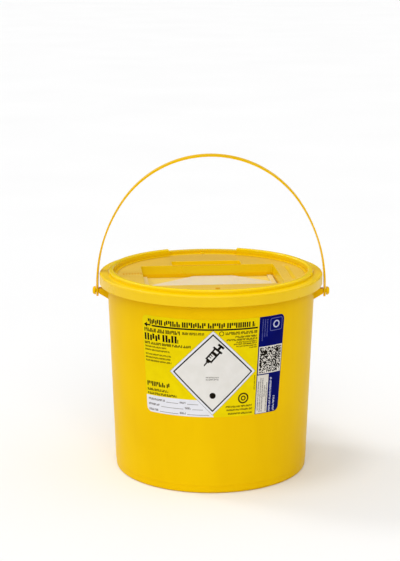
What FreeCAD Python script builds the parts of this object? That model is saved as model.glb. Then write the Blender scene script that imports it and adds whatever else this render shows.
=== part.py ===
"""Round sharps container: bucket, snapped-on lid with a well and a lift-up closure flap, and a bail handle.

Units are millimetres. The origin is the centre of the base, on the surface that the container stands on,
+Z is up, the label faces -Y and the handle's pivots lie on the X axis' two sides.
The lid, the aperture frame under it and the flap are turned together by lid_turn about Z.
"""

import FreeCAD, Part
import math
import os
import Sketcher

LINE_START, LINE_END, ARC_START, ARC_END = 1, 2, 1, 2
CIRCLE_CENTRE = 3
ORIGIN_POINT = (-1, 1)
X_AXIS, Y_AXIS = -1, -2

PAST = 1            # how far a cut runs past the faces that it opens, in mm
SUNK = 0.4          # how deep an added feature starts inside the solid that it joins, in mm
LEAST_CHANGE = 0.5  # the least volume that any feature adds or cuts, in mm3
TOLERANCE = 1e-4    # for comparing lengths and heights

# The driving dimensions: alias, value, and what it measures.
DIMENSIONS = [
    ("base_radius", 120.4, "outer radius of the tapered wall, extended to the ground"),
    ("neck_radius", 128.8, "outer radius of the wall at the lid skirt's lower edge"),
    ("neck_height", 235.3, "height of the lid skirt's lower edge"),
    ("wall", 1.8, "bucket wall thickness"),
    ("floor_thickness", 2.2, "bucket floor thickness"),
    ("foot_height", 2.0, "how far the foot ring lifts the floor's underside"),
    ("foot_inner_radius", 111.0, "inner radius of the foot ring"),
    ("foot_draft", 0.6, "how much narrower the space inside the foot ring is at its top"),
    ("base_edge_radius", 3.0, "rounding of the bottom outer edge"),
    ("floor_corner_radius", 4.0, "rounding inside, between floor and wall"),
    ("band_height", 9.6, "height of the faint step above the base"),
    ("band_step", 0.35, "how far the wall stands out above that step"),
    ("flange_radius", 134.6, "outer radius of the snap flange under the rim"),
    ("flange_level", 238.9, "underside of the snap flange"),
    ("flange_thickness", 2.2, "thickness of the snap flange"),
    ("gusset_thickness", 9.0, "width of each pivot bracket along Y"),
    ("gusset_root", 127.4, "where each bracket starts, inside the wall"),
    ("gusset_foot", 10.5, "how far below the pivot the bracket meets the wall"),
    ("gusset_drop", 2.9, "bracket below the pivot axis at its outer end"),
    ("gusset_rise", 3.2, "bracket above the pivot axis"),
    ("gusset_reach", 139.9, "outer end of each bracket along X"),
    ("pin_radius", 2.4, "pivot pin stem"),
    ("pin_root", 137.9, "where the stem starts, inside its bracket"),
    ("pin_head_radius", 5.2, "pivot pin head"),
    ("pin_head_start", 143.7, "inner face of the pin head along X"),
    ("pin_head_rounding", 2.8, "rounding of the pin head's outer edge"),
    ("pin_reach", 147.6, "outer end of the pin head along X"),
    ("pivot_height", 223.4, "height of the handle's pivot axis"),
    ("lid_radius", 138.5, "outer radius of the lid"),
    ("lid_top", 248.3, "top of the lid's outer border"),
    ("lid_wall", 1.8, "lid wall thickness"),
    ("lid_edge_radius", 2.2, "rounding of the lid's outer top edge"),
    ("skirt_draft", 0.15, "how much narrower the skirt is at its lower edge"),
    ("panel_top", 244.6, "top of the lid's sunk middle panel"),
    ("panel_radius", 127.2, "outer radius of the sunk middle panel"),
    ("plug_depth", 6.3, "sealing plug below the panel's underside"),
    ("plug_inset", 0.45, "how far the plug's outside is set in from the panel's radius"),
    ("hook_radius", 133.2, "inner radius of the snap hook inside the skirt"),
    ("hook_gap", 0.3, "gap between the snap flange and the hook under it"),
    ("hook_lead", 0.4, "width of the hook's bevelled nose"),
    ("hook_nose", 0.8, "height of that bevel"),
    ("ring_top", 252.9, "top of the raised ring"),
    ("ring_inner_radius", 120.6, "inner radius of the raised ring"),
    ("ring_edge_radius", 1.8, "rounding of the raised ring's edges"),
    ("ring_gap_angle", 43.2, "angle of the gap in the ring behind the well"),
    ("ring_end_angle", 1.0, "angle of the wall that closes each end of the ring"),
    ("step_radius", 116.8, "inner radius of the low step inside the ring"),
    ("step_height", 0.9, "height of that step above the panel"),
    ("lid_turn", 5.5, "turn of the lid group about Z, in degrees"),
    ("well_half_width", 84.6, "half the well's opening along the lid's X"),
    ("well_front", 59.5, "front edge of the well, before the centre"),
    ("well_back", 52.6, "back edge of the well, behind the centre"),
    ("well_corner", 4.0, "corner radius of the well"),
    ("well_lip_radius", 0.8, "rounding of the well's upper edge"),
    ("recess_half_width", 44.2, "half the width of the sunk recess behind the well"),
    ("recess_back", 77.2, "back of that recess, behind the centre"),
    ("recess_depth", 5.4, "depth of that recess"),
    ("recess_corner", 3.0, "radius of its two back corners"),
    ("well_wall_bottom", 233.6, "where the lid's well wall ends on the aperture frame"),
    ("frame_proud", 0.5, "how far the frame stands inside the well wall"),
    ("frame_bottom", 224.8, "underside of the frame's ledge"),
    ("frame_ledge", 226.8, "top of the ledge that the flap rests on"),
    ("frame_lip", 1.65, "thickness of the frame's snap lip round the well wall"),
    ("frame_lip_gap", 0.15, "gap between snap lip and well wall"),
    ("frame_lip_bottom", 231.0, "underside of the snap lip"),
    ("frame_lip_top", 237.0, "top of the snap lip"),
    ("throat_half_width", 77.5, "half the throat's width"),
    ("throat_front", 50.5, "front edge of the throat, before the centre"),
    ("throat_ledge_back", 38.0, "back end of the ledges beside the throat, behind the centre"),
    ("throat_rear_half_width", 83.6, "half the throat's width behind those ledges"),
    ("throat_back", 51.9, "back edge of the throat, behind the centre"),
    ("scoop_half_width", 26.2, "half the width of the finger scoop at the flap's front edge"),
    ("scoop_back", 36.0, "back of the finger scoop, before the centre"),
    ("scoop_bottom", 219.7, "underside of the finger scoop"),
    ("scoop_floor", 221.5, "floor of the finger scoop"),
    ("hinge_place", 46.0, "flap hinge axis, behind the centre"),
    ("hinge_height", 229.0, "height of the flap's hinge axis"),
    ("socket_boss_radius", 4.0, "boss round each hinge socket"),
    ("socket_boss_reach", 89.0, "outer end of each boss"),
    ("socket_radius", 1.66, "hinge socket"),
    ("socket_reach", 87.5, "blind end of each socket"),
    ("flap_half_width", 83.2, "half the flap's width"),
    ("flap_front", 57.0, "front edge of the flap, before the centre"),
    ("flap_back", 51.4, "back edge of the flap, behind the centre"),
    ("grip_half_width", 20.0, "half the width of the finger cut-out in the flap's front edge"),
    ("grip_back", 44.0, "back of that cut-out, before the centre"),
    ("flap_corner", 3.0, "corner radius of the flap"),
    ("flap_bottom", 227.0, "underside of the flap"),
    ("flap_top", 230.6, "top of the flap's raised face"),
    ("flap_skin", 1.6, "skin left above the hollow underside"),
    ("face_left", 16.6, "left end of the raised face's back edge, before the flap's middle"),
    ("face_right", 31.8, "right end of the raised face's back edge, past the flap's middle"),
    ("face_slant", 0.83, "how far forward the raised face's sides go for each millimetre outwards"),
    ("sunk_depth", 1.6, "depth of the two sunk corner faces"),
    ("sunk_half_width", 77.0, "where the sunk faces meet the side strips"),
    ("trunnion_radius", 1.6, "hinge trunnion"),
    ("trunnion_reach", 87.0, "outer end of each trunnion"),
    ("strap_half_span", 141.6, "pivot to centre line of the strap, along X"),
    ("strap_thickness", 2.2, "strap thickness"),
    ("strap_width", 13.0, "strap width along Y"),
    ("strap_bottom", 216.0, "lower end of the strap"),
    ("strap_spring", 231.0, "where the straight legs turn into the arch"),
    ("strap_apex", 393.3, "centre line of the strap at its top"),
    ("strap_side_radius", 186.0, "radius of the arch's two side arcs"),
    ("strap_hole_radius", 2.48, "hole that turns on the pivot pin"),
    ("label_bottom", 97.6, "lower edge of the label"),
    ("label_top", 217.8, "upper edge of the label"),
    ("label_angle", 80.4, "angle that the label covers"),
    ("label_centre", 2.0, "label centre, in degrees to the right of the front"),
    ("label_thickness", 0.2, "label film thickness"),
    ("label_corner", 6.0, "corner radius of the label"),
    ("label_spare", 2.0, "depth of the label's blank on each side of the wall's surface"),
    ("rib_height", 0.5, "height of the raised marks on the lid's panel"),
    ("rib_offset", 99.4, "centre of the long rib beside the well"),
    ("rib_width", 4.5, "width of the long rib"),
    ("rib_length", 70.0, "length of the long rib"),
    ("pip_first", -108.4, "centre of the first plain pip"),
    ("pip_pitch", 3.6, "distance from one pip to the next"),
    ("pip_width", 2.1, "width of a pip"),
    ("pip_length", 8.0, "length of a pip"),
    ("pip_row", 8.6, "centre of the row of pips, behind the lid's centre"),
    ("nub_radius", 2.6, "two small nubs on the lid's centre line"),
    ("nub_height", 1.2, "height of those nubs"),
    ("nub_front", 82.6, "front nub, before the centre"),
    ("nub_rear", 123.4, "rear nub, behind the centre"),
]
PIP_COUNT = 7


class Size:
    """A length that keeps both its value and the spreadsheet expression that it comes from."""

    def __init__(self, value, text):
        self.value = float(value)
        self.text = text

    def __add__(self, other):
        other = as_size(other)
        return Size(self.value + other.value, f"({self.text} + {other.text})")

    def __sub__(self, other):
        other = as_size(other)
        return Size(self.value - other.value, f"({self.text} - {other.text})")

    def __mul__(self, other):
        other = as_size(other)
        return Size(self.value * other.value, f"({self.text} * {other.text})")

    def __truediv__(self, other):
        other = as_size(other)
        return Size(self.value / other.value, f"({self.text} / {other.text})")

    def __neg__(self):
        return Size(-self.value, f"(-1 * {self.text})")


def as_size(number):
    return number if isinstance(number, Size) else Size(number, f"{float(number):.6f}")


doc = FreeCAD.newDocument("sharps_container")
sheet = doc.addObject("Spreadsheet::Sheet", "dims")
for row, (alias, value, meaning) in enumerate(DIMENSIONS, start=1):
    sheet.set(f"A{row}", meaning)
    sheet.set(f"B{row}", str(value))
    sheet.setAlias(f"B{row}", alias)
doc.recompute()


class Dimensions:
    """dim.wall is the sheet's cell with the alias wall, as a Size."""

    def __getattr__(self, alias):
        return Size(getattr(sheet, alias), f"dims.{alias}")


dim = Dimensions()


def new_body(label):
    body = doc.addObject("PartDesign::Body", label)
    body.Label = label
    return body


def new_sketch(body, name, role, offset=None):
    """A sketch on one of the body's origin planes, moved along its normal by offset."""
    sketch = body.newObject("Sketcher::SketchObject", name)
    plane = next(item for item in body.Origin.OriginFeatures if item.Role == role)
    sketch.AttachmentSupport = [(plane, "")]
    sketch.MapMode = "FlatFace"
    if offset is not None:
        sketch.AttachmentOffset = FreeCAD.Placement(FreeCAD.Vector(0, 0, offset.value), FreeCAD.Rotation())
        sketch.setExpression("AttachmentOffset.Base.z", offset.text)
    return sketch


def bind(sketch, kind, geometry, value):
    """Add a constraint with a value and bind that value to the sheet."""
    value = as_size(value)
    index = sketch.addConstraint(Sketcher.Constraint(kind, *geometry, value.value))
    sketch.setExpression(f"Constraints[{index}]", value.text)


def fix_point(sketch, geometry, corner):
    """Fix one point of a sketch by its two coordinates; a plain 0 puts it on the axis."""
    for value, kind, axis in ((corner[0], "DistanceX", Y_AXIS), (corner[1], "DistanceY", X_AXIS)):
        if isinstance(value, int) and value == 0:
            sketch.addConstraint(Sketcher.Constraint("PointOnObject", *geometry, axis))
        else:
            bind(sketch, kind, ORIGIN_POINT + geometry, value)


def arc_between(start, end, radius, turn):
    """The shorter arc from start to end; turn is 1 for anticlockwise and -1 for clockwise."""
    chord = end - start
    half = chord.Length / 2
    to_centre = FreeCAD.Vector(-chord.y, chord.x, 0).normalize() * turn
    centre = (start + end) / 2 + to_centre * math.sqrt(max(radius ** 2 - half ** 2, 0))
    first, last = (start, end) if turn > 0 else (end, start)
    angles = [math.atan2(point.y - centre.y, point.x - centre.x) for point in (first, last)]
    circle = Part.Circle(centre, FreeCAD.Vector(0, 0, 1), radius)
    return Part.ArcOfCircle(circle, angles[0], angles[1])


def add_outline(sketch, corners):
    """Close a loop through the corners: (x, y), or (x, y, radius, turn) where an arc ends at the corner."""
    ends = []
    for index, corner in enumerate(corners):
        before = corners[index - 1]
        start, end = [FreeCAD.Vector(as_size(c[0]).value, as_size(c[1]).value, 0) for c in (before, corner)]
        if len(corner) == 2:
            geometry = sketch.addGeometry(Part.LineSegment(start, end), False)
            ends.append(((geometry, LINE_START), (geometry, LINE_END)))
        else:
            radius, turn = as_size(corner[2]), corner[3]
            geometry = sketch.addGeometry(arc_between(start, end, radius.value, turn), False)
            order = (ARC_START, ARC_END) if turn > 0 else (ARC_END, ARC_START)
            ends.append(((geometry, order[0]), (geometry, order[1])))
    for index, corner in enumerate(corners):
        start_of_next = ends[(index + 1) % len(ends)][0]
        sketch.addConstraint(Sketcher.Constraint("Coincident", *ends[index][1], *start_of_next))
        fix_point(sketch, ends[index][1], corner)
        if len(corner) > 2:
            bind(sketch, "Radius", (ends[index][1][0],), corner[2])


def add_circle(sketch, centre, radius):
    start = FreeCAD.Vector(as_size(centre[0]).value, as_size(centre[1]).value, 0)
    circle = Part.Circle(start, FreeCAD.Vector(0, 0, 1), as_size(radius).value)
    geometry = sketch.addGeometry(circle, False)
    fix_point(sketch, (geometry, CIRCLE_CENTRE), centre)
    bind(sketch, "Radius", (geometry,), radius)


def rectangle(left, right, front, back):
    return [(left, front), (right, front), (right, back), (left, back)]


def feature(body, kind, name, sketch, **sizes):
    """A Pad, Pocket, Revolution or Groove from a sketch, with Size values bound to the sheet."""
    made = body.newObject(f"PartDesign::{kind}", name)
    made.Profile = sketch
    for key, value in sizes.items():
        if isinstance(value, Size):
            setattr(made, key, value.value)
            made.setExpression(key, value.text)
        else:
            setattr(made, key, value)
    sketch.Visibility = False
    return made


def revolve(body, kind, name, corners, axis="V_Axis", angle=None, level=None):
    """Revolve an outline drawn in the XZ plane about the sketch's vertical or horizontal axis."""
    sketch = new_sketch(body, f"{name}_sketch", "XZ_Plane")
    if level is not None:
        sketch.setExpression("AttachmentOffset.Base.y", level.text)
    add_outline(sketch, corners)
    made = feature(body, kind, name, sketch, Angle=angle or Size(360, "360"), Midplane=angle is not None)
    made.ReferenceAxis = (sketch, [axis])
    return made


def pad_between(body, kind, name, corners, low, high):
    """Add or cut the outline, drawn in the XY plane, from height low to height high."""
    sketch = new_sketch(body, f"{name}_sketch", "XY_Plane", low)
    add_outline(sketch, corners)
    return feature(body, kind, name, sketch, Length=high - low, Reversed=kind == "Pocket")


def wall_radius(height):
    """Outer radius of the bucket's tapered wall at a height."""
    return dim.base_radius + (dim.neck_radius - dim.base_radius) / dim.neck_height * height


def make_container_body():
    """The bucket with its foot ring, snap flange, two pivot brackets and their pins, in one moulding."""
    body = new_body("container_body")
    floor_top = dim.foot_height + dim.floor_thickness
    rim_top = dim.panel_top - dim.lid_wall
    flange_top = dim.flange_level + dim.flange_thickness
    corner_top = floor_top + dim.floor_corner_radius
    inner_foot = wall_radius(corner_top) - dim.wall
    flange_edge = dim.flange_thickness / 2
    revolve(body, "Revolution", "shell", [
        (0, dim.foot_height),
        (dim.foot_inner_radius - dim.foot_draft, dim.foot_height),
        (dim.foot_inner_radius, 0),
        (dim.base_radius - dim.band_step - dim.base_edge_radius, 0),
        (dim.base_radius - dim.band_step, dim.base_edge_radius, dim.base_edge_radius, 1),
        (wall_radius(dim.band_height) - dim.band_step, dim.band_height),
        (wall_radius(dim.band_height), dim.band_height + dim.band_step),
        (wall_radius(dim.flange_level), dim.flange_level),
        (dim.flange_radius - flange_edge, dim.flange_level),
        (dim.flange_radius, dim.flange_level + flange_edge, flange_edge, 1),
        (dim.flange_radius - flange_edge, flange_top, flange_edge, 1),
        (wall_radius(flange_top), flange_top),
        (wall_radius(rim_top), rim_top),
        (wall_radius(rim_top) - dim.wall, rim_top),
        (inner_foot, corner_top),
        (inner_foot - dim.floor_corner_radius, floor_top, dim.floor_corner_radius, -1),
        (0, floor_top),
    ])
    for side, name in ((1, "right"), (-1, "left")):
        sketch = new_sketch(body, f"{name}_gusset_sketch", "XZ_Plane")
        corners = [
            (dim.gusset_root * side, dim.pivot_height - dim.gusset_foot),
            (dim.gusset_reach * side, dim.pivot_height - dim.gusset_drop),
            (dim.gusset_reach * side, dim.pivot_height + dim.gusset_rise),
            (dim.gusset_root * side, dim.pivot_height + dim.gusset_rise),
        ]
        add_outline(sketch, corners)
        feature(body, "Pad", f"{name}_gusset", sketch, Length=dim.gusset_thickness, Midplane=True)
        rounding = dim.pin_head_rounding
        revolve(body, "Revolution", f"{name}_pin", [
            (dim.pin_root * side, 0),
            (dim.pin_root * side, dim.pin_radius),
            (dim.pin_head_start * side, dim.pin_radius),
            (dim.pin_head_start * side, dim.pin_head_radius),
            ((dim.pin_reach - rounding) * side, dim.pin_head_radius),
            (dim.pin_reach * side, dim.pin_head_radius - rounding, rounding, -side),
            (dim.pin_reach * side, 0),
        ], axis="H_Axis", level=dim.pivot_height)
    return body


def well_outline(grow):
    """The well's outline, a rectangle with round corners, grown outwards."""
    half, front, back = dim.well_half_width + grow, dim.well_front + grow, dim.well_back + grow
    radius = dim.well_corner + grow
    return [
        (half - radius, -front),
        (half, radius - front, radius, 1),
        (half, back - radius),
        (half - radius, back, radius, 1),
        (radius - half, back),
        (-half, back - radius, radius, 1),
        (-half, radius - front),
        (radius - half, -front, radius, 1),
    ]


def recess_outline(grow):
    """The recess behind the well, its front a wall's thickness from the well, grown outwards."""
    half, back = dim.recess_half_width + grow, dim.recess_back + grow
    front = dim.well_back + dim.lid_wall - grow
    radius = dim.recess_corner + grow
    return [
        (-half, front),
        (half, front),
        (half, back - radius),
        (half - radius, back, radius, 1),
        (radius - half, back),
        (-half, back - radius, radius, 1),
    ]


def well_lip_edges(shape):
    """Names of the edges round the well and the recess behind it, on the panel's top."""
    names = []
    level = dim.panel_top.value
    reach_x, reach_y = dim.well_half_width.value + PAST, dim.recess_back.value + PAST
    for number, edge in enumerate(shape.Edges, start=1):
        box = edge.BoundBox
        flat = abs(box.ZMin - level) < TOLERANCE and abs(box.ZMax - level) < TOLERANCE
        inside = max(abs(box.XMin), abs(box.XMax)) < reach_x and max(abs(box.YMin), abs(box.YMax)) < reach_y
        centred = abs(box.YMin + dim.nub_front.value) > 2 * dim.nub_radius.value
        if flat and inside and centred:
            names.append(f"Edge{number}")
    return names


def make_lid():
    """Snap-on lid: skirt with hook, border, sealing plug, raised ring with a gap, panel, well and recess."""
    body = new_body("lid")
    panel_bottom = dim.panel_top - dim.lid_wall
    border_bottom = dim.lid_top - dim.lid_wall
    skirt_inner = dim.lid_radius - dim.lid_wall
    plug_outer = dim.panel_radius - dim.plug_inset
    plug_inner = dim.panel_radius - dim.lid_wall
    hook_top = dim.flange_level - dim.hook_gap
    revolve(body, "Revolution", "disc", [
        (0, panel_bottom),
        (plug_inner, panel_bottom),
        (plug_inner, panel_bottom - dim.plug_depth),
        (plug_outer, panel_bottom - dim.plug_depth),
        (plug_outer, panel_bottom),
        (dim.panel_radius + dim.lid_wall, panel_bottom),
        (dim.panel_radius + dim.lid_wall, border_bottom),
        (skirt_inner, border_bottom),
        (skirt_inner, hook_top),
        (dim.hook_radius + dim.hook_lead, hook_top),
        (dim.hook_radius, hook_top - dim.hook_nose),
        (skirt_inner - dim.skirt_draft, dim.neck_height),
        (dim.lid_radius - dim.skirt_draft, dim.neck_height),
        (dim.lid_radius, dim.lid_top - dim.lid_edge_radius),
        (dim.lid_radius - dim.lid_edge_radius, dim.lid_top, dim.lid_edge_radius, 1),
        (dim.panel_radius, dim.lid_top),
        (dim.panel_radius, dim.panel_top),
        (0, dim.panel_top),
    ])
    ring_angle = Size(360, "360") - dim.ring_gap_angle
    edge = dim.ring_edge_radius
    ring_base = panel_bottom + SUNK
    step_top = dim.panel_top + dim.step_height
    ring = revolve(body, "Revolution", "ring", [
        (-dim.panel_radius, ring_base),
        (-dim.panel_radius, dim.ring_top - edge),
        (edge - dim.panel_radius, dim.ring_top, edge, -1),
        (-dim.ring_inner_radius - edge, dim.ring_top),
        (-dim.ring_inner_radius, dim.ring_top - edge, edge, -1),
        (-dim.ring_inner_radius, step_top),
        (-dim.step_radius, step_top),
        (-dim.step_radius, ring_base),
    ], angle=ring_angle)
    hollow_angle = ring_angle - dim.ring_end_angle * 2
    hollow = revolve(body, "Groove", "ring_hollow", [
        (-dim.panel_radius + dim.lid_wall, panel_bottom - PAST),
        (-dim.panel_radius + dim.lid_wall, dim.ring_top - dim.lid_wall),
        (-dim.ring_inner_radius - dim.lid_wall, dim.ring_top - dim.lid_wall),
        (-dim.ring_inner_radius - dim.lid_wall, panel_bottom - PAST),
    ], angle=hollow_angle)
    for partial in (ring, hollow):
        turn_to_front(partial)
    recess_floor = dim.panel_top - dim.recess_depth
    pad_between(body, "Pad", "well_wall", well_outline(dim.lid_wall),
                dim.well_wall_bottom, panel_bottom + SUNK)
    pad_between(body, "Pad", "recess_shell", recess_outline(dim.lid_wall),
                recess_floor - dim.lid_wall, panel_bottom + SUNK)
    doc.recompute()
    pad_between(body, "Pocket", "recess", recess_outline(Size(0, "0")), recess_floor, dim.panel_top + PAST)
    opening = pad_between(body, "Pocket", "well_opening", well_outline(Size(0, "0")),
                          dim.well_wall_bottom - PAST, dim.panel_top + PAST)
    doc.recompute()
    rounding = body.newObject("PartDesign::Fillet", "well_lip")
    rounding.Base = (opening, well_lip_edges(opening.Shape))
    rounding.Radius = dim.well_lip_radius.value
    rounding.setExpression("Radius", dim.well_lip_radius.text)
    doc.recompute()
    mark_base, mark_top = dim.panel_top - SUNK, dim.panel_top + dim.rib_height
    rib_left, rib_right = dim.rib_offset - dim.rib_width / 2, dim.rib_offset + dim.rib_width / 2
    half_rib = dim.rib_length / 2
    long_rib = rectangle(rib_left, rib_right, -half_rib, half_rib)
    pad_between(body, "Pad", "long_rib", long_rib, mark_base, mark_top)
    for index in range(PIP_COUNT):
        centre = dim.pip_first + dim.pip_pitch * index
        left, right = centre - dim.pip_width / 2, centre + dim.pip_width / 2
        near, far = dim.pip_row - dim.pip_length / 2, dim.pip_row + dim.pip_length / 2
        pad_between(body, "Pad", f"pip_{index + 1}", rectangle(left, right, near, far), mark_base, mark_top)
    for name, place in (("front_nub", -dim.nub_front), ("rear_nub", dim.nub_rear)):
        sketch = new_sketch(body, f"{name}_sketch", "XY_Plane", mark_base)
        add_circle(sketch, (0, place), dim.nub_radius)
        feature(body, "Pad", name, sketch, Length=dim.panel_top + dim.nub_height - mark_base)
    turn_body(body, dim.lid_turn)
    return body


def turn_to_front(partial):
    """Centre a partial revolution on the front: its sketch is drawn on -X and turned on to -Y."""
    sketch = partial.Profile[0]
    sketch.AttachmentOffset = FreeCAD.Placement(
        FreeCAD.Vector(0, 0, 0), FreeCAD.Rotation(FreeCAD.Vector(0, 1, 0), 90))


def turn_body(body, angle):
    body.Placement = FreeCAD.Placement(
        FreeCAD.Vector(0, 0, 0), FreeCAD.Rotation(FreeCAD.Vector(0, 0, 1), angle.value))
    body.setExpression("Placement.Rotation.Angle", angle.text)


def make_aperture_frame():
    """The insert clipped under the well: ledge for the flap, throat, finger scoop and hinge sockets."""
    body = new_body("aperture_frame")
    lip_outer = dim.lid_wall + dim.frame_lip_gap + dim.frame_lip
    lip_inner = dim.lid_wall + dim.frame_lip_gap
    pad_between(body, "Pad", "wall", well_outline(dim.lid_wall), dim.frame_bottom, dim.well_wall_bottom)
    pad_between(body, "Pad", "lip", well_outline(lip_outer), dim.frame_lip_bottom, dim.frame_lip_top)
    side_face = dim.well_half_width - dim.frame_proud
    for side, name in ((1, "right"), (-1, "left")):
        sketch = new_sketch(body, f"{name}_boss_sketch", "YZ_Plane", side_face * side)
        add_circle(sketch, (dim.hinge_place, dim.hinge_height), dim.socket_boss_radius)
        feature(body, "Pad", f"{name}_boss", sketch,
                Length=dim.socket_boss_reach - side_face, Reversed=side < 0)
    doc.recompute()
    above = dim.frame_lip_top + PAST
    pad_between(body, "Pocket", "lip_room", well_outline(lip_inner), dim.well_wall_bottom, above)
    pad_between(body, "Pocket", "seat", well_outline(-dim.frame_proud), dim.frame_ledge, above)
    half, rear_half = dim.throat_half_width, dim.throat_rear_half_width
    throat = [
        (-half, -dim.throat_front),
        (half, -dim.throat_front),
        (half, dim.throat_ledge_back),
        (rear_half, dim.throat_ledge_back),
        (rear_half, dim.throat_back),
        (-rear_half, dim.throat_back),
        (-rear_half, dim.throat_ledge_back),
        (-half, dim.throat_ledge_back),
    ]
    pad_between(body, "Pocket", "throat", throat, dim.frame_bottom - PAST, dim.frame_ledge + PAST)
    inside, front = dim.scoop_half_width, dim.well_front - dim.frame_proud
    outside, scoop_rear = inside + dim.lid_wall, dim.scoop_back - dim.lid_wall
    block = rectangle(-outside, outside, -front - dim.lid_wall, -scoop_rear)
    pad_between(body, "Pad", "scoop_block", block, dim.scoop_bottom, dim.frame_ledge)
    doc.recompute()
    hollow = rectangle(-inside, inside, -front, -dim.scoop_back)
    pad_between(body, "Pocket", "scoop", hollow, dim.scoop_floor, dim.frame_ledge + PAST)
    for side, name in ((1, "right"), (-1, "left")):
        sketch = new_sketch(body, f"{name}_socket_sketch", "YZ_Plane", (side_face - PAST) * side)
        add_circle(sketch, (dim.hinge_place, dim.hinge_height), dim.socket_radius)
        feature(body, "Pocket", f"{name}_socket", sketch,
                Length=dim.socket_reach - side_face + PAST, Reversed=side > 0)
    turn_body(body, dim.lid_turn)
    return body


def make_closure_flap():
    """Lift-up flap: raised face, two sunk corner faces, a finger cut-out in front and trunnions behind."""
    body = new_body("closure_flap")
    half, front, back, radius = dim.flap_half_width, dim.flap_front, dim.flap_back, dim.flap_corner
    grip, grip_back = dim.grip_half_width, dim.grip_back
    plate = [
        (-grip, -front),
        (-grip, -grip_back),
        (grip, -grip_back),
        (grip, -front),
        (half - radius, -front),
        (half, radius - front, radius, 1),
        (half, back - radius),
        (half - radius, back, radius, 1),
        (radius - half, back),
        (-half, back - radius, radius, 1),
        (-half, radius - front),
        (radius - half, -front, radius, 1),
    ]
    pad_between(body, "Pad", "plate", plate, dim.flap_bottom, dim.flap_top)
    sketch = new_sketch(body, "trunnions_sketch", "YZ_Plane")
    add_circle(sketch, (dim.hinge_place, dim.hinge_height), dim.trunnion_radius)
    feature(body, "Pad", "trunnions", sketch, Length=dim.trunnion_reach * 2, Midplane=True)
    doc.recompute()
    sunk = dim.sunk_half_width
    for side, name, face in ((1, "right", dim.face_right), (-1, "left", dim.face_left)):
        corners = [
            (face * side, back),
            (sunk * side, back - (sunk - face) * dim.face_slant),
            (sunk * side, back + PAST),
            (face * side, back + PAST),
        ]
        pad_between(body, "Pocket", f"{name}_sunk_face", corners,
                    dim.flap_top - dim.sunk_depth, dim.flap_top + PAST)
    inset = dim.flap_skin * 2
    sides = sunk - inset
    left_end, right_end = [back - (sunk - face) * dim.face_slant - inset / 2
                           for face in (dim.face_left, dim.face_right)]
    hollow = [
        (-sides, inset - front),
        (-grip - inset, inset - front),
        (-grip - inset, inset - grip_back),
        (grip + inset, inset - grip_back),
        (grip + inset, inset - front),
        (sides, inset - front),
        (sides, right_end),
        (dim.face_right - inset / 2, back - inset),
        (inset / 2 - dim.face_left, back - inset),
        (-sides, left_end),
    ]
    pad_between(body, "Pocket", "underside", hollow, dim.flap_bottom - PAST, dim.flap_top - dim.flap_skin)
    turn_body(body, dim.lid_turn)
    return body


def make_carry_handle():
    """Flat strap bent to a three-centred arch, with round ends that turn on the two pivot pins."""
    body = new_body("carry_handle")
    span, side_radius = dim.strap_half_span, dim.strap_side_radius
    rise = dim.strap_apex - dim.strap_spring
    offset = side_radius - span
    crown_radius = (side_radius * side_radius - offset * offset - rise * rise) / ((side_radius - rise) * 2)
    crown_level = dim.strap_apex - crown_radius
    between = side_radius - crown_radius
    lean_x, lean_z = offset / between, (crown_level - dim.strap_spring) / between

    def arch(grow):
        """Half-width, crown radius, side radius and junction of the arch, off its centre line by grow."""
        reach = side_radius + grow
        joint = (reach * lean_x - offset, dim.strap_spring + reach * lean_z)
        return span + grow, crown_radius + grow, reach, joint

    outer, outer_crown, outer_side, outer_joint = arch(dim.strap_thickness / 2)
    inner, inner_crown, inner_side, inner_joint = arch(-dim.strap_thickness / 2)
    sketch = new_sketch(body, "arch_sketch", "XZ_Plane")
    add_outline(sketch, [
        (outer, dim.strap_bottom),
        (outer, dim.strap_spring),
        (*outer_joint, outer_side, 1),
        (-outer_joint[0], outer_joint[1], outer_crown, 1),
        (-outer, dim.strap_spring, outer_side, 1),
        (-outer, dim.strap_bottom),
        (-inner, dim.strap_bottom),
        (-inner, dim.strap_spring),
        (-inner_joint[0], inner_joint[1], inner_side, -1),
        (*inner_joint, inner_crown, -1),
        (inner, dim.strap_spring, inner_side, -1),
        (inner, dim.strap_bottom),
    ])
    feature(body, "Pad", "arch", sketch, Length=dim.strap_width, Midplane=True)
    doc.recompute()
    half = dim.strap_width / 2
    both_legs = (outer + PAST) * 2
    round_level = dim.strap_bottom + half
    sketch = new_sketch(body, "round_ends_sketch", "YZ_Plane")
    add_outline(sketch, [
        (-half, round_level),
        (0, dim.strap_bottom, half, 1),
        (half, round_level, half, 1),
        (half + PAST, round_level),
        (half + PAST, dim.strap_bottom - PAST),
        (-half - PAST, dim.strap_bottom - PAST),
        (-half - PAST, round_level),
    ])
    feature(body, "Pocket", "round_ends", sketch, Length=both_legs, Midplane=True)
    sketch = new_sketch(body, "pin_holes_sketch", "YZ_Plane")
    add_circle(sketch, (0, dim.pivot_height), dim.strap_hole_radius)
    feature(body, "Pocket", "pin_holes", sketch, Length=both_legs, Midplane=True)
    return body


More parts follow.
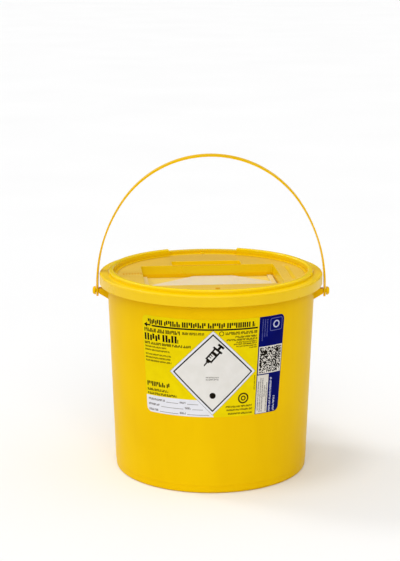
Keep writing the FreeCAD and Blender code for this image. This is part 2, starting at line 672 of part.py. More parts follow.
def make_front_label():
    """Printed film on the bucket's tapered wall: a thick blank, its corners rounded, pared to a film."""
    body = new_body("front_label")
    low, high, spare = dim.label_bottom, dim.label_top, dim.label_spare

    def tapered_band(inner, outer, beyond=0):
        """A band that follows the wall, from inner to outer beyond the wall's surface."""
        bottom, top = low - beyond, high + beyond
        return [
            (wall_radius(bottom) + inner, bottom),
            (wall_radius(bottom) + outer, bottom),
            (wall_radius(top) + outer, top),
            (wall_radius(top) + inner, top),
        ]

    blank = revolve(body, "Revolution", "blank", tapered_band(-spare, spare), angle=dim.label_angle)
    doc.recompute()
    corners = [f"Edge{number}" for number, edge in enumerate(blank.Shape.Edges, start=1)
               if math.isclose(edge.Length, 2 * spare.value, rel_tol=TOLERANCE)]
    rounding = body.newObject("PartDesign::Fillet", "round_corners")
    rounding.Base = (blank, corners)
    rounding.Radius = dim.label_corner.value
    rounding.setExpression("Radius", dim.label_corner.text)
    doc.recompute()
    revolve(body, "Groove", "pared_inside", tapered_band(-spare * 2, Size(0, "0"), beyond=PAST))
    revolve(body, "Groove", "pared_outside", tapered_band(dim.label_thickness, spare * 2, beyond=PAST))
    turn_body(body, dim.label_centre - 90)
    return body


def check(bodies):
    """Stop if a feature failed, if a cut removed nothing, or if a sub-part is not one valid solid."""
    for item in doc.Objects:
        if "Invalid" in item.State or "Error" in item.State:
            raise RuntimeError(f"{item.Name} failed: {item.State}")
    for body in bodies:
        before = None
        for item in body.Group:
            if not item.isDerivedFrom("PartDesign::Feature"):
                continue
            volume = item.Shape.Volume
            cuts = item.TypeId in ("PartDesign::Pocket", "PartDesign::Groove")
            if cuts and volume > before - LEAST_CHANGE:
                raise RuntimeError(f"{item.Name} cuts nothing")
            adds = before is not None and not cuts and item.TypeId != "PartDesign::Fillet"
            if adds and volume < before + LEAST_CHANGE:
                raise RuntimeError(f"{item.Name} adds nothing")
            before = volume
        shape = body.Shape
        if shape.isNull() or not shape.isValid() or len(shape.Solids) != 1:
            raise RuntimeError(f"{body.Label} is not one valid solid")


def main():
    bodies = [
        make_container_body(),
        make_lid(),
        make_aperture_frame(),
        make_closure_flap(),
        make_carry_handle(),
        make_front_label(),
    ]
    doc.recompute()
    check(bodies)
    os.makedirs("parts", exist_ok=True)
    for body in bodies:
        body.Shape.exportStep(os.path.join("parts", f"{body.Label}.step"))
        box = body.Shape.BoundBox
        spans = ((box.XMin, box.XMax), (box.YMin, box.YMax), (box.ZMin, box.ZMax))
        sizes = ", ".join(f"{axis} {low:.1f}..{high:.1f}" for axis, (low, high) in zip("xyz", spans))
        print(f"{body.Label}: {body.Shape.Volume / 1000:.1f} cm3, {sizes}")


main()
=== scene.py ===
"""Looks of the round sharps container: moulded plastics, a printed label film, and a plain pale studio."""
import math
import random

import bmesh
import bpy
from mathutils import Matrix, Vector


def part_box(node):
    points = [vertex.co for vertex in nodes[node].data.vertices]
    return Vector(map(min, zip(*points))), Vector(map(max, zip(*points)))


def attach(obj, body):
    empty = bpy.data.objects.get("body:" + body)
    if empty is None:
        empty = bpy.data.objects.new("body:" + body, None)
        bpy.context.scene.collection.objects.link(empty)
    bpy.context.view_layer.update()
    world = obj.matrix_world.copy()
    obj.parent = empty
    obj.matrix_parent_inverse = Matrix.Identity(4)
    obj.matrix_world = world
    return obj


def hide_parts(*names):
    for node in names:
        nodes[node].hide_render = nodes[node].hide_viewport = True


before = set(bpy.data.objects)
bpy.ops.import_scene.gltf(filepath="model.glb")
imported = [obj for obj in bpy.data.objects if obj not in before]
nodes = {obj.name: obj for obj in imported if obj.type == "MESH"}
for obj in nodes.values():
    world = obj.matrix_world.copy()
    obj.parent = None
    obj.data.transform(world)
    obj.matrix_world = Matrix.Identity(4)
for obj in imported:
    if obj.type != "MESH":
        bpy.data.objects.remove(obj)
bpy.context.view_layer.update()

MM = 0.001
lid_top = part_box("lid")[1].z      # the top of the raised ring
flap_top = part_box("closure_flap")[1].z
label_low, label_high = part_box("front_label")

# Features of the lid and the flap where their materials differ, along the lid's own turned axes
LID_TURN = math.radians(5.5)      # the turn of the lid, its frame and the flap about Z
PANEL_EDGE = 120.0 * MM           # radius of the textured panel
PANEL_DEPTH = 8.3 * MM            # from the raised ring's top to the panel
PANEL_BACK = 110.0 * MM           # where the panel's painted shade is darkest, along plain Y
LEVEL_SLACK = 0.2 * MM            # how far from the panel's level still counts as on it
SUNK_SLACK = 0.3 * MM             # how far below the panel a face counts as sunk
WELL_EDGE = 104.0 * MM            # radius around everything that is sunk below the panel
WELL_BACK = 52.4 * MM             # back edge of the well, behind the lid's centre
RECESS_HALF = 44.4 * MM           # half the width of the recess behind the well
BAR = 2.6 * MM                    # width of the smooth bar between the well and the recess
LIP = 0.9 * MM                    # how far the rounded top of that bar reaches down
MARKS_RIGHT = 5.0 * MM            # the pips and the front nub lie left of this
MARKS_EDGE = 114.0 * MM           # radius around them
SKIRT_TOP = 5.5 * MM              # depth below the ring's top where the ring's painted lighter colour and its gloss begin
RING_FOOT = 3.5 * MM              # depth where they are complete
FLAP_STRIP = 77.0 * MM            # how far to either side the flap's end strips start
FLAP_SUNK = 0.8 * MM              # how far below its top the flap's two corner faces count as sunk


# ---------------------------------------------------------------- materials

class Shader:
    """A material whose node tree is written one node at a time, in the object's own coordinates."""

    def __init__(self, name):
        self.material = bpy.data.materials.new(name)
        self.material.use_nodes = True
        self.tree = self.material.node_tree
        self.surface = self.tree.nodes["Principled BSDF"]
        self.place = self.add("ShaderNodeTexCoord").outputs["Object"]
        self.colour, self.roughness, self.relief = None, None, None

    def add(self, kind, inputs=(), **settings):
        """A new node with its settings, and with its sockets set or linked."""
        made = self.tree.nodes.new(kind)
        for name, value in settings.items():
            setattr(made, name, value)
        for socket, value in dict(inputs).items():
            self.set(made.inputs[socket], value)
        return made

    def set(self, socket, value):
        """Link a socket when the value is another node's output, and otherwise give it the value."""
        if isinstance(value, bpy.types.NodeSocket):
            self.tree.links.new(value, socket)
        else:
            socket.default_value = value

    def surface_values(self, **values):
        """Set or link the surface's sockets; a name's underscores stand for spaces."""
        for name, value in values.items():
            self.set(self.surface.inputs[name.replace("_", " ")], value)

    def maths(self, operation, first, second=0.0, third=0.0):
        """The output of a node that works on numbers."""
        made = self.add("ShaderNodeMath", {0: first, 1: second, 2: third}, operation=operation)
        return made.outputs[0]

    def vector_maths(self, operation, first, second, output):
        """The named output of a node that works on vectors."""
        made = self.add("ShaderNodeVectorMath", {0: first, 1: second}, operation=operation)
        return made.outputs[output]

    def product(self, *factors):
        """All factors multiplied; where they are masks, the part that every one of them covers."""
        result = factors[0]
        for factor in factors[1:]:
            result = self.maths("MULTIPLY", result, factor)
        return result

    def below(self, value, limit):
        """A mask: 1 where value is less than limit."""
        return self.maths("LESS_THAN", value, limit)

    def above(self, value, limit):
        """A mask: 1 where value is more than limit."""
        return self.maths("GREATER_THAN", value, limit)

    def near(self, value, middle, reach):
        """A mask: 1 where value is no further than reach from middle."""
        return self.maths("COMPARE", value, middle, reach)

    def noise(self, size, detail, stretch=(1, 1, 1), roughness=0.5):
        """Noise whose blotches are about size metres across, times stretch along each axis."""
        where = self.add("ShaderNodeMapping", {"Vector": self.place, "Scale": [1 / s for s in stretch]})
        made = self.add("ShaderNodeTexNoise", {
            "Vector": where.outputs[0], "Scale": 1 / size, "Detail": detail, "Roughness": roughness})
        return made.outputs["Fac"]

    def ramp(self, value, low, high, low_out=0.0, high_out=1.0):
        """Value from low to high mapped smoothly to low_out to high_out."""
        made = self.add("ShaderNodeMapRange", {
            "Value": value, "From Min": low, "From Max": high, "To Min": low_out, "To Max": high_out},
            interpolation_type="SMOOTHSTEP")
        return made.outputs["Result"]

    def mix(self, factor, first, second):
        """A colour between first and second."""
        made = self.add("ShaderNodeMix", data_type="RGBA")
        self.set(made.inputs["Factor"], factor)
        for socket, value in zip([s for s in made.inputs if s.type == "RGBA"], (first, second)):
            self.set(socket, value)
        return next(s for s in made.outputs if s.type == "RGBA")

    def cover(self, mask, value):
        """Mix another colour over the shader's own where the mask says."""
        self.colour = self.mix(mask, self.colour, value)

    def roughen(self, amount):
        """Add to the shader's own roughness."""
        self.roughness = self.maths("ADD", self.roughness, amount)

    def coordinate(self, axis):
        """The place along X, Y or Z."""
        return self.add("ShaderNodeSeparateXYZ", {0: self.place}).outputs[axis]

    def lid_place(self):
        """The place along the lid's own X and Y, which are turned about Z."""
        cosine, sine = math.cos(LID_TURN), math.sin(LID_TURN)
        return [self.vector_maths("DOT_PRODUCT", self.place, axis, "Value")
                for axis in ((cosine, sine, 0), (-sine, cosine, 0))]

    def radius(self):
        """The distance from the Z axis."""
        flat = self.vector_maths("MULTIPLY", self.place, (1, 1, 0), "Vector")
        return self.add("ShaderNodeVectorMath", {0: flat}, operation="LENGTH").outputs["Value"]

    def bump(self, height, distance, normal=None):
        """A bumped normal, on top of another one if that is given."""
        inputs = {"Height": height, "Distance": distance, "Strength": 1.0}
        if normal is not None:
            inputs["Normal"] = normal
        return self.add("ShaderNodeBump", inputs).outputs[0]

    def finish(self):
        """Join the shader's own colour, roughness and relief to its surface."""
        self.surface_values(Base_Color=self.colour, Roughness=self.roughness, Normal=self.relief)
        return self


def colour(red, green, blue):
    """A linear RGBA colour from screen values of 0 to 255."""
    def linear(value):
        value /= 255
        return value / 12.92 if value <= 0.04045 else ((value + 0.055) / 1.055) ** 2.4
    return (linear(red), linear(green), linear(blue), 1.0)


def moulded(name, main, other, roughness, specular, grain=0.5, peel=0.5, scuffed=0.2):
    """Injection-moulded polypropylene: mottled colour, orange peel, fine grain, uneven gloss, faint scuffs.
    Grain, peel and scuffed say how strong each one is."""
    shader = Shader(name)
    blotches = shader.ramp(shader.noise(90 * MM, 3), 0.35, 0.65)
    flow = shader.ramp(shader.noise(16 * MM, 2, stretch=(1, 1, 7)), 0.3, 0.7)
    tone = shader.maths("ADD", shader.product(blotches, 0.65), shader.product(flow, 0.35))
    scuff_lines = shader.ramp(shader.noise(5 * MM, 5, stretch=(5, 5, 0.35), roughness=0.6), 0.66, 0.78)
    scuff_patches = shader.ramp(shader.noise(60 * MM, 2), 0.5, 0.75)
    scuffs = shader.product(scuff_lines, scuff_patches)
    pale = [part + (1 - part) * 0.25 for part in main[:3]] + [1.0]
    shader.colour = shader.mix(tone, main, other)
    shader.cover(shader.product(scuffs, scuffed), pale)
    shader.roughness = shader.ramp(shader.noise(35 * MM, 4), 0.3, 0.7, roughness - 0.03, roughness + 0.03)
    shader.roughen(shader.product(scuffs, scuffed * 0.5))
    orange_peel = shader.bump(shader.noise(7 * MM, 2), 0.03 * MM * peel)
    shader.relief = shader.bump(shader.noise(0.7 * MM, 2), 0.01 * MM * grain, orange_peel)
    shader.surface_values(Specular_IOR_Level=specular, IOR=1.49)
    return shader


def film_print(name, main, other):
    """One colour of the label's print: a slightly uneven ink with a paper-like fine grain."""
    shader = Shader(name)
    tone = shader.ramp(shader.noise(12 * MM, 3), 0.3, 0.7)
    shader.colour = shader.mix(tone, main, other)
    shader.roughness = shader.ramp(shader.noise(8 * MM, 3), 0.3, 0.7, 0.3, 0.41)
    shader.relief = shader.bump(shader.noise(0.5 * MM, 2), 0.01 * MM)
    shader.surface_values(Specular_IOR_Level=0.03)
    return shader.finish()


def panel_colour(shader):
    """The lid's spark-eroded panel: stippled and worn in patches, painted pale as a sheen, and painted shade
    darkening it towards its back.
    """
    stipple = shader.ramp(shader.noise(1.1 * MM, 3), 0.3, 0.7)
    wear = shader.ramp(shader.noise(40 * MM, 3), 0.3, 0.7)
    # painted shade: the panel's colour darkens towards its back
    painted_shade_to_back = shader.ramp(shader.coordinate("Y"), 0.0, PANEL_BACK, 0.0, 0.6)
    # painted sheen: the panel's stipple colours are paler than the lid's yellow
    stippled_with_sheen = shader.mix(stipple, colour(224, 184, 52), colour(232, 195, 76))
    worn_with_sheen = shader.mix(shader.product(wear, 0.35), stippled_with_sheen, colour(220, 178, 40))
    return shader.mix(painted_shade_to_back, worn_with_sheen, colour(204, 160, 50))


def lid_material():
    """Glossy and painted lighter above the skirt, and duller on the skirt. Inside the ring lies a duller
    panel, painted paler as a sheen, with a stippled grain. Well and recess are painted lighter as light
    shining through them, and the smooth bar between them and the small raised marks carry painted shade."""
    shader = moulded("lid_polypropylene", colour(241, 200, 0), colour(237, 194, 0), roughness=0.13,
                     specular=0.22, grain=0.05, peel=0.1, scuffed=0.1)
    height, radius = shader.coordinate("Z"), shader.radius()
    across, behind = shader.lid_place()
    panel_level = lid_top - PANEL_DEPTH

    # painted shade: the smooth bar between the well and the recess is coloured darker
    shaded_bar = shader.product(shader.below(shader.maths("ABSOLUTE", across), RECESS_HALF),
                         shader.near(behind, WELL_BACK + BAR / 2, BAR / 2),
                         shader.above(height, panel_level - LIP))
    panel = shader.product(shader.below(radius, PANEL_EDGE),
                           shader.near(height, panel_level, LEVEL_SLACK),
                           shader.maths("SUBTRACT", 1.0, shaded_bar))
    # painted light: the sunk walls of the well and the recess are coloured lighter, as if lit through the
    # thin plastic
    painted_light_walls = shader.product(shader.below(height, panel_level - SUNK_SLACK),
                                shader.below(radius, WELL_EDGE))
    # painted shade: the small raised marks are coloured darker
    shaded_marks = shader.product(shader.above(height, panel_level + LEVEL_SLACK),
                           shader.below(across, MARKS_RIGHT),
                           shader.below(radius, MARKS_EDGE))
    # painted light: ring and border above the skirt are coloured lighter; the same mask makes them glossier
    glossy_painted_light_upper = shader.ramp(height, lid_top - SKIRT_TOP, lid_top - RING_FOOT)

    shader.cover(glossy_painted_light_upper, colour(246, 210, 0))
    shader.cover(painted_light_walls, colour(241, 205, 0))
    shader.cover(shaded_bar, colour(224, 174, 0))
    shader.cover(panel, panel_colour(shader))
    shader.cover(shaded_marks, colour(222, 166, 0))
    shader.roughen(shader.product(panel, 0.1))
    shader.roughen(shader.ramp(glossy_painted_light_upper, 0.0, 1.0, 0.17, 0.0))
    eroded = shader.product(shader.noise(0.8 * MM, 4), panel)
    shader.relief = shader.bump(eroded, 0.06 * MM, shader.relief)
    return shader.finish()


def flap_material():
    """Milky natural polypropylene, pale on the raised face, yellower on the end strips, and painted yellower
    on the sunk corners as light from the yellow frame showing through.
    """
    shader = moulded("flap_natural_polypropylene", colour(226, 214, 188), colour(222, 208, 176),
                     roughness=0.32, specular=0.2, grain=0.3, peel=0.3, scuffed=0.25)
    facing = shader.add("ShaderNodeTexCoord").outputs["Normal"]
    upwards = shader.add("ShaderNodeSeparateXYZ", {0: facing}).outputs["Z"]
    top = shader.above(upwards, 0.5)
    across = shader.lid_place()[0]
    end_strips = shader.product(top, shader.above(shader.maths("ABSOLUTE", across), FLAP_STRIP))
    # painted light: the sunk corners are coloured yellower, as yellow light from the frame showing through
    sunk_painted_glow = shader.product(top, shader.below(shader.coordinate("Z"), flap_top - FLAP_SUNK))
    shader.cover(shader.product(end_strips, 0.6), colour(240, 214, 124))
    shader.cover(shader.product(sunk_painted_glow, 0.85), colour(236, 206, 80))
    shader.surface_values(Subsurface_Weight=0.25, Subsurface_Radius=(1.0, 0.6, 0.2), Subsurface_Scale=3 * MM)
    return shader.finish()


def paint(piece, shader):
    """Give a piece its only material."""
    piece.data.materials.clear()
    piece.data.materials.append(shader.material)


body_plastic = moulded("body_polypropylene", colour(241, 196, 0), colour(236, 189, 0),
                       roughness=0.34, specular=0.03).finish()
frame_plastic = moulded("frame_polypropylene", colour(240, 192, 0), colour(236, 186, 0),
                        roughness=0.3, specular=0.1).finish()
strap_plastic = moulded("strap_polypropylene", colour(241, 193, 0), colour(235, 185, 0),
                        roughness=0.3, specular=0.03, scuffed=0.15).finish()
lid_plastic = lid_material()
flap_plastic = flap_material()

for node, shader, slot in (
        ("container_body", body_plastic, "body_yellow"),
        ("lid", lid_plastic, "lid_yellow"),
        ("aperture_frame", frame_plastic, "lid_yellow"),
        ("closure_flap", flap_plastic, "flap_natural"),
        ("carry_handle", strap_plastic, "handle_yellow")):
    paint(nodes[node], shader)


# ---------------------------------------------------------------- the label film

# The label's own layout, in millimetres: across is measured along the wall from the diamond's middle,
# and height is above the base.
FILM_LEFT, FILM_RIGHT = -87.3, 89.4
FILM_LOW, FILM_HIGH = label_low.z / MM, label_high.z / MM
FILM_CORNER = 6.5
FILM_TURN = math.radians(1.1)     # the diamond's middle, to the right of the front
FILM_SKEW = math.radians(0.4)     # the film's slight lean, from its lower edge to its upper edge
FILM_FLARE = 0.056                # how much wider the film's upper edge is than its lower edge
BORDER = 54.4                     # where the yellow field ends and the dark blue one starts
DIAMOND_HEIGHT = 152.3            # the diamond's middle
DIAMOND_HALF = 52.3               # from its middle to its corners
DIAMOND_LINE = 48.2               # the same for the outside of its black line
DIAMOND_FIELD = 46.0              # and for the inside of that line
PANEL_TOP = 118.6                 # the upper edge of the write-in panel
STRIP = 2.5                       # the width of the flat strips that follow the round wall
COURSE = 12.0                     # the height of each course of strips
EDGE_SLACK = 0.1                  # how near the film's upper or lower edge a vertex counts as on it

WALL_GAP = 0.01                   # between the wall and the film
FILM = 0.14                       # the thickness of the bare film
INK = 0.03                        # the thickness of one layer of print
FIRST = WALL_GAP + FILM           # how far off the wall the first layer of print starts
SECOND = FIRST + INK
THIRD = SECOND + INK

# The blocks that stand for print. A group lists the lower and upper ends of its blocks, in heights.
BLOCK_GROUPS = (((0, 1), (0.45, 1)), ((0, 1), (0, 0.55)), ((0, 0.5), (0, 1)), ((0, 1), (0, 1)),
                ((0.45, 1), (0, 1)), ((0, 1),), ((0, 0.8), (0.25, 1)))
BLOCK_SPACE = 0.36                # the space after a block, in strokes
GROUP_SPACE = 0.2                 # the further space after a group, in strokes
WORD_SPACE = 0.25                 # the further space after a word, in heights
WORD_LENGTHS = (1.8, 4.6)         # the shortest and the longest word, in heights
MATRIX_FILL = 0.58                # the share of dark blocks in the block pattern


def wall_line(node):
    """Radius at height zero and growth with height of the wall behind the label, from its CAD node."""
    points = [v.co for v in node.data.vertices]
    low, high = min(p.z for p in points), max(p.z for p in points)
    radii = [min(math.hypot(p.x, p.y) for p in points if abs(p.z - level) < EDGE_SLACK * MM)
             for level in (low, high)]
    growth = (radii[1] - radii[0]) / (high - low)
    return radii[0] - growth * low, growth


wall_base, wall_growth = wall_line(nodes["front_label"])


def wrap(across, height, lift):
    """The point on the bucket's wall for a place on the label, lifted off the wall."""
    rise = (height - (FILM_LOW + FILM_HIGH) / 2) / (FILM_HIGH - FILM_LOW)
    middle_radius = (wall_base + wall_growth * (FILM_LOW + FILM_HIGH) / 2 * MM) / MM
    angle = FILM_TURN + FILM_SKEW * rise + across / middle_radius * (1 + FILM_FLARE * rise)
    radius = wall_base + wall_growth * height * MM + lift * MM
    return Vector((radius * math.sin(angle), -radius * math.cos(angle), height * MM))


def cut_into_strips(mesh):
    """Cut flat faces along the strips and courses, so that they can follow the round wall."""
    for axis, pitch in ((0, STRIP), (2, COURSE)):
        low, high = (pick(v.co[axis] for v in mesh.verts) for pick in (min, max))
        normal = [float(axis == 0), 0, float(axis == 2)]
        for index in range(math.floor(low / pitch) + 1, math.ceil(high / pitch)):
            everything = mesh.verts[:] + mesh.edges[:] + mesh.faces[:]
            place = [index * pitch * part for part in normal]
            bmesh.ops.bisect_plane(mesh, geom=everything, plane_co=place, plane_no=normal)


def face_outwards(mesh):
    """Turn every face away from the bucket's axis."""
    bmesh.ops.recalc_face_normals(mesh, faces=mesh.faces)
    for face in mesh.faces:
        centre = face.calc_center_median()
        if face.normal.dot(Vector((centre.x, centre.y, 0))) < 0:
            face.normal_flip()


def layer(name, outlines, lift, thickness, shader):
    """A thin closed layer from flat outlines (across, height), wrapped on the wall and lifted off it."""
    mesh = bmesh.new()
    for outline in outlines:
        mesh.faces.new([mesh.verts.new((across, 0, height)) for across, height in outline])
    cut_into_strips(mesh)
    for vert in mesh.verts:
        vert.co = wrap(vert.co.x, vert.co.z, lift + thickness)
    face_outwards(mesh)
    data = bpy.data.meshes.new(name)
    mesh.to_mesh(data)
    mesh.free()
    piece = bpy.data.objects.new(name, data)
    bpy.context.scene.collection.objects.link(piece)
    solid = piece.modifiers.new("thickness", "SOLIDIFY")
    solid.thickness = thickness * MM
    solid.offset = -1
    paint(piece, shader)
    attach(piece, "root")
    return piece


def box(left, right, low, high):
    """A rectangle's outline."""
    return [(left, low), (right, low), (right, high), (left, high)]


def diamond(half):
    """A square on its corner, half as wide as given."""
    middle = DIAMOND_HEIGHT
    return [(0, middle - half), (half, middle), (0, middle + half), (-half, middle)]


def arc(across, height, radius, start, end, steps=8):
    """Points along an arc, with its angles in degrees."""
    angles = [math.radians(start + (end - start) * step / steps) for step in range(steps + 1)]
    return [(across + radius * math.cos(a), height + radius * math.sin(a)) for a in angles]


def circle(across, height, radius, steps=24):
    """A full circle's outline."""
    return arc(across, height, radius, 0, 360, steps)[:-1]


def rounded(left, right, low, high, radii):
    """A rectangle with rounded corners; radii are for lower left, lower right, upper right, upper left."""
    corners = ((left, low, 1, 1, 180), (right, low, -1, 1, 270),
               (right, high, -1, -1, 0), (left, high, 1, -1, 90))
    points = []
    for (across, height, inward, upward, start), radius in zip(corners, radii):
        if radius:
            points += arc(across + inward * radius, height + upward * radius, radius, start, start + 90)
        else:
            points.append((across, height))
    return points


def band(outer, inner):
    """The closed band between two outlines with equally many points, as quads."""
    count = len(outer)
    return [[outer[i], outer[(i + 1) % count], inner[(i + 1) % count], inner[i]] for i in range(count)]


def ring(across, height, outer, inner, steps=24):
    """The closed band between two circles."""
    return band(circle(across, height, outer, steps), circle(across, height, inner, steps))


def words(left, right, base, height, weight, seed, upright=True):
    """Plain blocks that stand for a line of print, in word-long groups, with no letters in them.
    Weight is a stroke's width in heights. With upright off, the line runs up the label, and left and
    right are heights."""
    rng = random.Random(seed)
    stroke = weight * height
    blocks = []
    place = left
    while place < right - stroke:
        word_end = min(place + height * rng.uniform(*WORD_LENGTHS), right)
        while place < word_end - stroke:
            for low, high in rng.choice(BLOCK_GROUPS):
                end = min(place + stroke, right)
                if upright:
                    blocks.append(box(place, end, base + low * height, base + high * height))
                else:
                    blocks.append(box(base - high * height, base - low * height, place, end))
                place = end + stroke * BLOCK_SPACE
            place += stroke * GROUP_SPACE
        place += height * WORD_SPACE
    return blocks


def syringe(across, height, scale, lean):
    """A plain pictogram of a syringe: plunger, barrel with graduations left open, hub and needle."""
    parts = [
        box(-3.2, 3.2, 9.4, 11.4),                   # thumb rest
        box(-1.1, 1.1, 6.8, 9.4),                    # plunger rod
        box(-4.8, 4.8, 5.0, 6.8),                    # finger flange
        box(-3.4, -1.9, -5.0, 5.0),                  # barrel's left wall
        box(1.9, 3.4, -5.0, 5.0),                    # barrel's right wall
        box(-1.9, 1.9, 0.4, 3.0),                    # plunger
        box(-1.9, 0.3, -1.5, -0.7),                  # graduations
        box(-1.9, 0.3, -3.4, -2.6),
        box(-3.4, 3.4, -6.5, -5.0),                  # barrel's front
        [(-1.3, -8.2), (1.3, -8.2), (2.0, -6.5), (-2.0, -6.5)],     # hub
        [(-0.6, -11.8), (0.6, -12.8), (0.6, -8.2), (-0.6, -8.2)],   # needle
    ]
    cosine, sine = math.cos(lean), math.sin(lean)
    return [[(across + scale * (x * cosine - y * sine), height + scale * (x * sine + y * cosine))
             for x, y in part] for part in parts]


def matrix(left, right, low, high, count, seed):
    """A field of random square blocks, joined along each row."""
    rng = random.Random(seed)
    width, height = (right - left) / count, (high - low) / count
    runs = []
    for row in range(count):
        start = None
        for column in range(count + 1):
            dark = column < count and rng.random() < MATRIX_FILL
            if dark and start is None:
                start = column
            if not dark and start is not None:
                runs.append(box(left + start * width, left + column * width,
                                low + row * height, low + (row + 1) * height))
                start = None
    return runs


yellow_field = film_print("print_yellow", colour(236, 212, 0), colour(231, 205, 0))
blue_field = film_print("print_blue", colour(0, 8, 100), colour(0, 5, 90))
white_field = film_print("print_white", colour(230, 230, 236), colour(225, 225, 231))
grey_field = film_print("print_pale_grey", colour(229, 226, 221), colour(224, 221, 215))
cream_field = film_print("print_cream", colour(222, 217, 208), colour(216, 210, 200))
black_ink = film_print("print_black", colour(18, 13, 8), colour(26, 20, 12))
soft_ink = film_print("print_soft_black", colour(66, 54, 8), colour(76, 62, 10))
grey_ink = film_print("print_grey", colour(92, 86, 82), colour(104, 98, 92))
faint_ink = film_print("print_faint_blue", colour(96, 100, 160), colour(86, 90, 150))
pale_ink = film_print("print_pale_blue", colour(196, 198, 222), colour(186, 188, 214))


def print_fields():
    """The film in yellow, and the coloured fields and the diamond on it."""
    film = rounded(FILM_LEFT, FILM_RIGHT, FILM_LOW, FILM_HIGH, [FILM_CORNER] * 4)
    base = layer("label_film", [film], WALL_GAP, FILM, yellow_field)
    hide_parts("front_label")

    blue = rounded(BORDER, FILM_RIGHT, FILM_LOW, FILM_HIGH, (0, FILM_CORNER, FILM_CORNER, 0))
    layer("label_blue_field", [blue], FIRST, INK, blue_field)

    panel_right = PANEL_TOP - DIAMOND_HEIGHT + DIAMOND_HALF    # where the panel's top meets the diamond
    write_in = arc(FILM_LEFT + FILM_CORNER, FILM_LOW + FILM_CORNER, FILM_CORNER, 180, 270)
    write_in += [(1.5, FILM_LOW), (0.5, DIAMOND_HEIGHT - DIAMOND_HALF),
                 (-panel_right, PANEL_TOP), (FILM_LEFT, PANEL_TOP)]
    layer("label_white_fields", [write_in, diamond(DIAMOND_HALF)], FIRST, INK, white_field)

    side_fields = [box(55.4, 71.2, FILM_LOW + 0.5, 145.8), box(55.8, 88.6, 147.2, 181.0)]
    layer("label_side_fields", side_fields, SECOND, INK, cream_field)
    layer("label_diamond_field", [diamond(DIAMOND_LINE)], SECOND, INK, grey_field)
    layer("label_diamond_line", band(diamond(DIAMOND_LINE), diamond(DIAMOND_FIELD)), THIRD, INK, black_ink)
    edge = band(diamond(DIAMOND_HALF), diamond(DIAMOND_HALF - 0.5))
    layer("label_diamond_edge", edge, SECOND, INK, grey_ink)


def print_headings():
    """The bold lines on the yellow field, and the fill line with its arrow."""
    black = words(-79.2, 48.8, 207.4, 6.4, 0.27, 11)
    black += [box(-74.2, 52.5, 204.6, 206.5)]                     # fill line
    black += [[(-85.2, 206.0), (-80.8, 202.8), (-80.8, 209.2)]]   # the arrow's head
    black += [box(-80.8, -76.0, 205.1, 206.9)]                    # and shaft
    black += words(-85.0, -37.4, 197.6, 4.7, 0.24, 12)
    black += words(-85.1, -40.6, 187.2, 8.7, 0.29, 13)
    black += words(-85.4, -25.6, 182.2, 3.3, 0.27, 14)
    black += words(-85.1, -53.2, 130.5, 5.8, 0.28, 15)
    black += words(-85.1, -55.8, 124.5, 3.1, 0.26, 16)
    black += words(-85.1, -44.7, 119.7, 3.1, 0.26, 17)
    layer("label_black_print", black, FIRST, INK, black_ink)


def print_small_lines():
    """The small lines around the diamond, and the marks that are plain rings."""
    soft = words(-35.8, -10.0, 198.4, 3.4, 0.15, 21)
    for height, right in ((178.4, -56.0), (174.4, -51.6), (169.0, -50.0), (165.0, -50.1), (161.0, -49.5)):
        soft += words(-85.2, right, height, 2.1, 0.2, seed=int(height))
    soft += words(14.1, 52.0, 199.0, 3.7, 0.18, 22)
    soft += ring(9.6, 200.8, 2.9, 2.1)
    for height, left, tall, weight in (
            (194.8, 25.7, 2.5, 0.25), (191.4, 15.6, 2.5, 0.25), (188.7, 27.0, 1.8, 0.24),
            (186.2, 24.0, 1.8, 0.22), (183.7, 27.0, 1.6, 0.22), (181.4, 43.0, 1.4, 0.2)):
        soft += words(left, 52.2, height, tall, weight, seed=int(height))
    for height, left in ((108.8, 16.4), (104.7, 17.4), (100.0, 19.4)):
        soft += words(left, 50.6, height, 2.4, 0.19, seed=int(height))
    soft += words(129.0, 147.0, 52.6, 1.4, 0.25, 23, upright=False)
    soft += ring(38.1, 119.8, 6.8, 4.9, steps=32)
    soft += ring(38.1, 119.8, 3.2, 1.7, steps=32)
    layer("label_soft_print", soft, FIRST, INK, soft_ink)


def print_diamond():
    """The pictogram and the dot in the diamond, and the two small lines between them."""
    dark = syringe(0.2, 174.4, 1.36, math.radians(-40)) + [circle(0, 124.4, 3.8)]
    layer("label_pictogram", dark, THIRD, INK, black_ink)
    small = words(-8.2, 7.0, 146.2, 1.5, 0.22, 31) + words(-8.2, 7.0, 143.6, 1.5, 0.22, 32)
    layer("label_diamond_print", small, THIRD, INK, grey_ink)


def print_form():
    """The write-in panel: three rows, each with two names and a line to write on after each."""
    form = []
    for base, name_end, date_start, right in (
            (112.8, -60.9, -40.8, -17.5), (106.4, -67.9, -34.3, -11.5), (99.9, -70.4, -40.9, -4.0)):
        form += words(-84.2, name_end, base, 2.6, 0.2, seed=int(base))
        form += [box(name_end + 2, date_start - 2, base - 0.3, base + 0.2)]
        form += words(date_start, date_start + 7.5, base, 2.6, 0.2, seed=int(base) + 1)
        form += [box(date_start + 9.5, right, base - 0.3, base + 0.2)]
    layer("label_form_print", form, SECOND, INK, grey_ink)


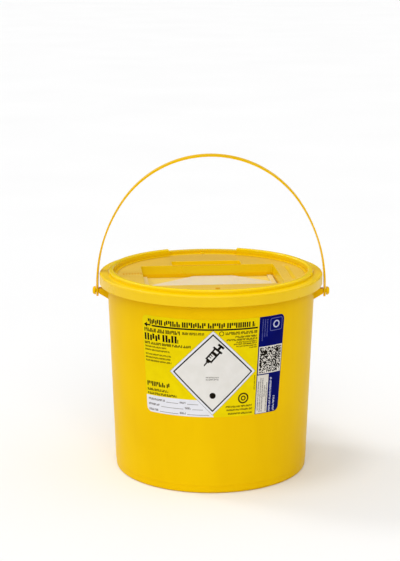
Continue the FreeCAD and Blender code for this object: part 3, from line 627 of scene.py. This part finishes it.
def print_side():
    """The dark blue side: lines that run up it, the block pattern, and a plain ring in a square."""
    columns = []
    for index, (low, high) in enumerate(((102, 138), (100, 143), (100, 142), (118, 133), (100, 136))):
        columns += words(low, high, 58.4 + 2.9 * index, 1.5, 0.24, 41 + index, upright=False)
    layer("label_strip_print", columns, THIRD, INK, grey_ink)
    layer("label_block_pattern", matrix(57.0, 87.4, 148.4, 179.8, 29, 51), THIRD, INK, black_ink)

    faint = []
    for index, (low, high) in enumerate(((188.0, 215.0), (192.8, 214.8), (192.8, 214.3))):
        faint += words(low, high, 59.6 + 3.1 * index, 1.2, 0.24, 61 + index, upright=False)
    faint += band(rounded(69.0, 86.6, 198.9, 214.6, [2.2] * 4), rounded(69.8, 85.8, 199.7, 213.8, [1.6] * 4))
    layer("label_faint_blue_print", faint, SECOND, INK, faint_ink)

    pale = words(98.6, 142.4, 76.4, 2.8, 0.25, 64, upright=False)
    pale += words(98.8, 117.4, 82.6, 2.8, 0.25, 65, upright=False)
    pale += ring(77.8, 206.8, 4.6, 3.1)
    layer("label_pale_print", pale, SECOND, INK, pale_ink)


print_fields()
print_headings()
print_small_lines()
print_diamond()
print_form()
print_side()


# ---------------------------------------------------------------- studio

FLOOR_RADIUS = 40.0               # in metres, so that its edge lies far away


def make_floor():
    """A very large plain disc that the container stands on."""
    mesh = bmesh.new()
    bmesh.ops.create_circle(mesh, cap_ends=True, segments=96, radius=FLOOR_RADIUS)
    data = bpy.data.meshes.new("floor")
    mesh.to_mesh(data)
    mesh.free()
    floor = bpy.data.objects.new("floor", data)
    bpy.context.scene.collection.objects.link(floor)
    shader = Shader("floor_matt_white")
    uneven = shader.mix(shader.noise(0.5, 2), (0.86, 0.86, 0.86, 1), (0.9, 0.9, 0.9, 1))
    shader.surface_values(Base_Color=uneven, Roughness=0.9, Specular_IOR_Level=0.1)
    floor.data.materials.append(shader.material)


def make_world():
    """Soft light from above, from the left and along the horizon, dark between."""
    world = bpy.data.worlds.new("studio")
    bpy.context.scene.world = world
    world.use_nodes = True
    tree = world.node_tree
    background = tree.nodes["Background"]
    direction = tree.nodes.new("ShaderNodeTexCoord").outputs["Generated"]
    split = tree.nodes.new("ShaderNodeSeparateXYZ")
    tree.links.new(direction, split.inputs[0])
    parts = []
    for axis, low, high, dim, bright in (
            ("Z", 0.2, 0.7, 0.08, 0.85),        # above
            ("X", -0.4, -0.97, 0.0, 0.35),      # left
            ("Z", 0.1, 0.04, 0.0, 0.7)):        # horizon
        reach = tree.nodes.new("ShaderNodeMapRange")
        reach.interpolation_type = "SMOOTHSTEP"
        tree.links.new(split.outputs[axis], reach.inputs["Value"])
        for name, value in (("From Min", low), ("From Max", high), ("To Min", dim), ("To Max", bright)):
            reach.inputs[name].default_value = value
        parts.append(reach.outputs["Result"])
    total = parts[0]
    for part in parts[1:]:
        both = tree.nodes.new("ShaderNodeMath")
        tree.links.new(total, both.inputs[0])
        tree.links.new(part, both.inputs[1])
        total = both.outputs[0]
    tree.links.new(total, background.inputs["Strength"])
    background.inputs["Color"].default_value = (1, 1, 1, 1)


def soft_sun(name, towards, strength, spread):
    """Parallel light from one side, as from a large distant lamp; spread is how wide it looks, in degrees."""
    data = bpy.data.lights.new(name, "SUN")
    data.energy = strength
    data.angle = math.radians(spread)
    light = bpy.data.objects.new(name, data)
    bpy.context.scene.collection.objects.link(light)
    light.rotation_mode = "QUATERNION"
    light.rotation_quaternion = Vector(towards).to_track_quat("Z", "Y")


# The camera, fitted to the object's outline in the photograph
LENS = 98.64                      # focal length, in millimetres
SENSOR = 36.0                     # sensor width, in millimetres
CAMERA_DISTANCE = 1.8684          # in front of the container's axis, in metres
CAMERA_HEIGHT = 0.6606            # above the floor, in metres
CAMERA_DOWN = math.radians(12.805)    # how far it looks down
CAMERA_LEFT = 0.0073              # how far it is turned to the left, in radians


def make_camera():
    """The photograph's viewing angle: a long lens, a little above the container."""
    data = bpy.data.cameras.new("camera")
    data.sensor_width = SENSOR
    data.lens = LENS
    camera = bpy.data.objects.new("camera", data)
    bpy.context.scene.collection.objects.link(camera)
    camera.location = (0, -CAMERA_DISTANCE, CAMERA_HEIGHT)
    camera.rotation_euler = (math.radians(90) - CAMERA_DOWN, 0, CAMERA_LEFT)
    bpy.context.scene.camera = camera


make_floor()
make_world()
soft_sun("front", (0.05, -0.85, 0.6), 0.9, 40)
soft_sun("rim", (-0.62, 0.28, 0.72), 0.5, 14)
soft_sun("top", (-0.25, -0.15, 1.0), 0.45, 14)
make_camera()
bpy.context.scene.view_settings.view_transform = "Standard"
